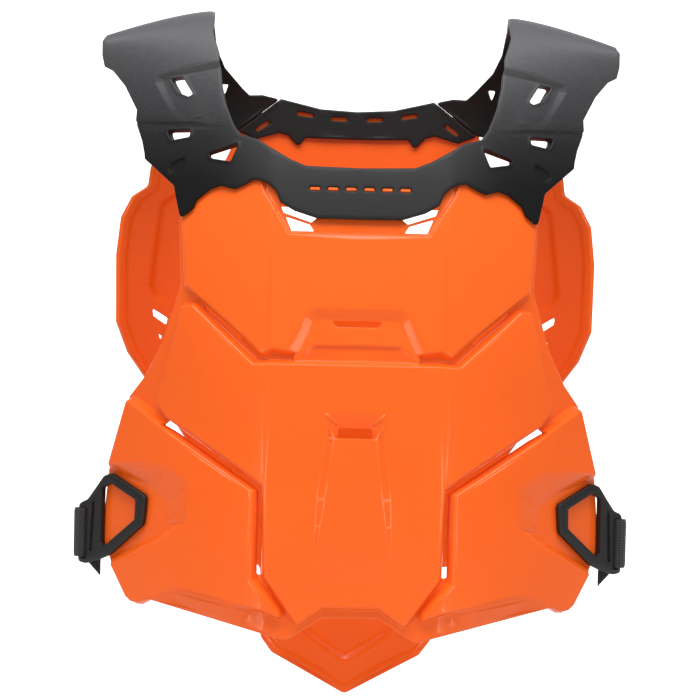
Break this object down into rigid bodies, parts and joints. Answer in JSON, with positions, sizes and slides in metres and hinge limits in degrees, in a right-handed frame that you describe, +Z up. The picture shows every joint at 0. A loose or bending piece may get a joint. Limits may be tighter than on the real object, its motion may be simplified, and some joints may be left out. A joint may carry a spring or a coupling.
{
  "type": "roost deflector",
  "caption": "Moulded chest and back guard worn over the shoulders, with plated shells, arched collar pads and side straps on hook rings.",
  "frame": {"origin": "midway between the undersides of the two shoulder pads' tops, where the wearer's shoulders carry the guard", "axes": "+X to the right of someone looking at the chest, -Y out of the chest, +Z up"},
  "size_m": [0.4308, 0.2506, 0.541],
  "materials": {
    "shell_plastic": "glossy orange injection-moulded polyethylene",
    "trim_plastic": "fine-grained black moulded plastic",
    "webbing": "flat woven black webbing"
  },
  "bodies": {
    "root": {"front_shell": "shell_plastic", "back_shell": "shell_plastic", "collar_yoke": "trim_plastic", "back_collar": "trim_plastic", "right_hook_ring": "trim_plastic", "left_hook_ring": "trim_plastic", "right_strap": "webbing", "left_strap": "webbing"}
  },
  "joints": []
}
